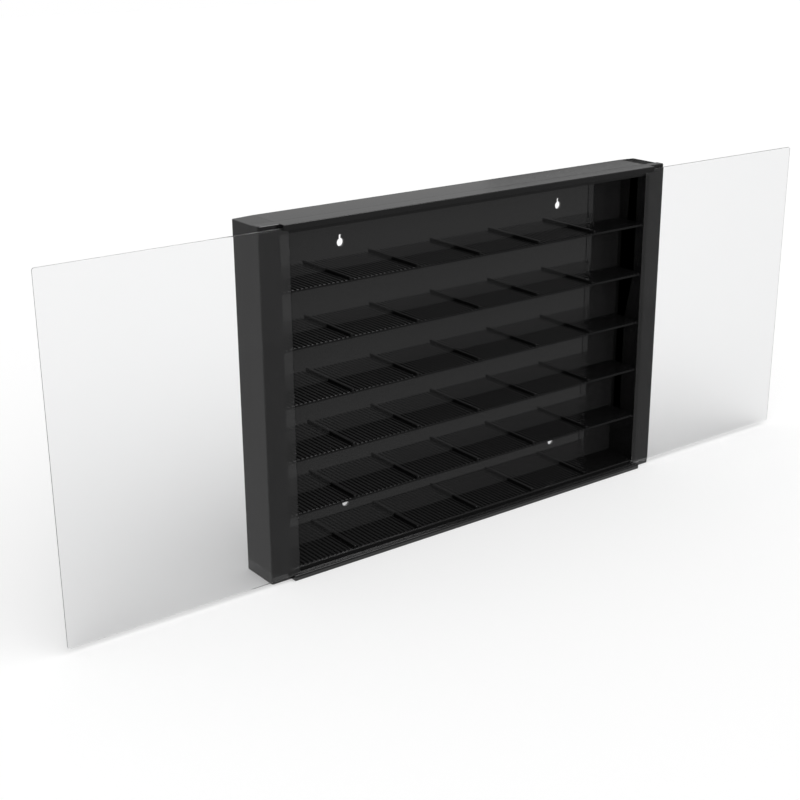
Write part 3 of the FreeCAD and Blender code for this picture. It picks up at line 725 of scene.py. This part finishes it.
class CASE_OT_set_stage(bpy.types.Operator):
    """Sets the pale floor, the soft lamps and the camera"""
    bl_idname = "display_case.set_stage"
    bl_label = "Set stage"

    def execute(self, context):
        sizes = context.scene.stage_sizes
        context.scene.view_settings.view_transform = "Standard"
        self.lay_floor(sizes)
        self.lay_cards()
        self.light_world(context, sizes)
        self.hang_lamps()
        self.place_camera(context)
        return {"FINISHED"}

    def seen(self, tree):
        """1 for rays that show the floor or the world to the eye, straight, mirrored or through glass."""
        path = put(tree, "ShaderNodeLightPath").outputs
        first = maths(tree, "MAXIMUM", path["Is Camera Ray"], path["Is Glossy Ray"])
        shown = maths(tree, "MAXIMUM", first, path["Is Transmission Ray"])
        unscattered = maths(tree, "LESS_THAN", path["Diffuse Depth"], 0.5)
        return maths(tree, "MULTIPLY", shown, unscattered)

    def lay_floor(self, sizes):
        half = sizes.floor_size / 2
        bm = bmesh.new()
        corners = [(-half, -half), (half, -half), (half, half), (-half, half)]
        bm.faces.new([bm.verts.new((x, y, -0.0003)) for x, y in corners])
        mesh = bpy.data.meshes.new("floor")
        bm.to_mesh(mesh)
        bm.free()
        floor = linked("floor", mesh)
        material, tree, output = empty_material("pale floor")
        matt = put(tree, "ShaderNodeBsdfDiffuse", {"Color": (0.8, 0.8, 0.8, 1.0)})
        lift = maths(tree, "MULTIPLY", self.seen(tree), sizes.floor_lift)
        glow = put(tree, "ShaderNodeEmission", {"Color": (1.0, 1.0, 1.0, 1.0), "Strength": lift})
        both = put(tree, "ShaderNodeAddShader", {0: matt.outputs[0], 1: glow.outputs[0]})
        tree.links.new(both.outputs[0], output.inputs["Surface"])
        mesh.materials.append(material)

    def lay_cards(self):
        """Grey cards in front of the case that only its mirrored light shows, as a studio's black flags."""
        low_z = 0.0002
        cards = [("front_card", 0.2, True, [((-0.9, -0.84, low_z), (0.94, -0.04, low_z))]),
                 ("outer_card", 0.22, True, [((-5.0, -5.0, low_z), (5.0, -0.84, low_z)),
                                            ((0.94, -0.84, low_z), (5.0, -0.04, low_z)),
                                            ((-5.0, -0.84, low_z), (-0.9, -0.04, low_z))]),
                 ("rear_card", 0.4, False, [((-5.0, -0.04, low_z), (-0.33, 5.0, low_z))]),
                 ("backdrop_card", 0.45, False, [((-5.0, 6.0, 0.0), (11.0, 6.0, 3.5))]),
                 ("corner_card", 0.02, False, [((5.0, 5.9, 0.0), (11.0, 5.9, 1.8))]),
                 ("ceiling_card", 0.25, False, [((-4.0, -3.2, 2.3), (6.0, 2.0, 2.3))]),
                 ("overhead_card", 7.0, False, [((0.3, -1.7, 2.2), (1.45, -0.2, 2.2))])]
        for name, level, behind_glass, patches in cards:
            bm = bmesh.new()
            for low, high in patches:
                across = Vector((high[0] - low[0], 0, 0))
                along = Vector(high) - Vector(low) - across
                bm.faces.new([bm.verts.new(point) for point in (
                    Vector(low), Vector(low) + across, Vector(high), Vector(low) + along)])
            mesh = bpy.data.meshes.new(name)
            bm.to_mesh(mesh)
            bm.free()
            card = linked(name, mesh)
            material, tree, output = empty_material(name.replace("_", " "))
            glow = put(tree, "ShaderNodeEmission", {"Color": (1.0, 1.0, 1.0, 1.0), "Strength": level})
            nothing = put(tree, "ShaderNodeBsdfTransparent")
            mirrored = maths(tree, "GREATER_THAN", put(tree, "ShaderNodeLightPath").outputs["Glossy Depth"], 0.5)
            mix = put(tree, "ShaderNodeMixShader", {0: mirrored, 1: nothing.outputs[0], 2: glow.outputs[0]})
            tree.links.new(mix.outputs[0], output.inputs["Surface"])
            material.cycles.emission_sampling = "NONE"
            mesh.materials.append(material)
            card.visible_camera = False
            card.visible_diffuse = False
            card.visible_transmission = behind_glass
            card.visible_shadow = False
            card.visible_volume_scatter = False

    def light_world(self, context, sizes):
        world = bpy.data.worlds.new("studio")
        context.scene.world = world
        world.use_nodes = True
        tree = world.node_tree
        tree.nodes.clear()
        output = put(tree, "ShaderNodeOutputWorld")
        ambient = put(tree, "ShaderNodeBackground", {"Color": (1.0, 1.0, 1.0, 1.0), "Strength": sizes.ambient})
        white = put(tree, "ShaderNodeBackground", {"Color": (1.0, 1.0, 1.0, 1.0), "Strength": 1.0})
        mix = put(tree, "ShaderNodeMixShader", {0: self.seen(tree), 1: ambient.outputs[0], 2: white.outputs[0]})
        tree.links.new(mix.outputs[0], output.inputs["Surface"])

    def hang_lamps(self):
        """A broad key from the front right and a fill from the front left, neither of them mirrored."""
        for name, energy, spread, place in (("soft_key", 1.75, 85, (0.5, -1.3, 1.6)),
                                            ("soft_fill", 0.7, 60, (-1.2, -1.5, 0.9))):
            light = bpy.data.lights.new(name, "SUN")
            light.energy = energy
            light.angle = math.radians(spread)
            made = bpy.data.objects.new(name, light)
            bpy.context.scene.collection.objects.link(made)
            made.location = place
            made.visible_glossy = False
            made.visible_transmission = False
            made.rotation_euler = (-made.location).to_track_quat("-Z", "Y").to_euler()

    def place_camera(self, context):
        camera = bpy.data.cameras.new("camera")
        camera.sensor_width = 36.0
        camera.sensor_fit = "HORIZONTAL"
        camera.lens = 63.735
        camera.shift_x = -0.03478
        camera.shift_y = -0.00189
        camera.clip_start = 0.05
        made = bpy.data.objects.new("camera", camera)
        context.scene.collection.objects.link(made)
        forward = Vector((0.575956, 0.745533, -0.335345)).normalized()
        upward = Vector((0.204570, 0.265721, 0.942095)).normalized()
        right = forward.cross(upward).normalized()
        turn = Matrix((right, upward, -forward)).transposed()
        made.matrix_world = Matrix.Translation((-1.087483, -1.324015, 0.768068)) @ turn.to_4x4()
        context.scene.camera = made


class CASE_PT_sidebar(bpy.types.Panel):
    """Lists the steps that finish the display case"""
    bl_idname = "CASE_PT_sidebar"
    bl_label = "Display Case"
    bl_space_type = "VIEW_3D"
    bl_region_type = "UI"
    bl_category = "Display Case"

    def draw(self, context):
        layout = self.layout
        for group in (context.scene.case_finish, context.scene.shelf_sizes, context.scene.door_sizes,
                      context.scene.screw_sizes, context.scene.stage_sizes):
            column = layout.column()
            for name in group.bl_rna.properties.keys():
                if name not in ("rna_type", "name"):
                    column.prop(group, name)
        for step in STEPS:
            layout.operator(step.bl_idname)


STEPS = [CASE_OT_finish_mouldings, CASE_OT_lay_shelves, CASE_OT_fit_back_panel, CASE_OT_hang_doors,
         CASE_OT_drive_screws, CASE_OT_set_stage]
GROUPS = {"case_finish": CaseFinish, "shelf_sizes": ShelfSizes, "door_sizes": DoorSizes,
          "screw_sizes": ScrewSizes, "stage_sizes": StageSizes}


def register():
    for name, group in GROUPS.items():
        bpy.utils.register_class(group)
        setattr(bpy.types.Scene, name, bpy.props.PointerProperty(type=group))
    for item in STEPS + [CASE_PT_sidebar]:
        bpy.utils.register_class(item)


def unregister():
    for item in reversed(STEPS + [CASE_PT_sidebar]):
        bpy.utils.unregister_class(item)
    for name, group in GROUPS.items():
        delattr(bpy.types.Scene, name)
        bpy.utils.unregister_class(group)


def main():
    """Registers the classes and runs each step."""
    register()
    for step in STEPS:
        group, name = step.bl_idname.split(".")
        getattr(getattr(bpy.ops, group), name)()


if __name__ == "__main__":
    main()
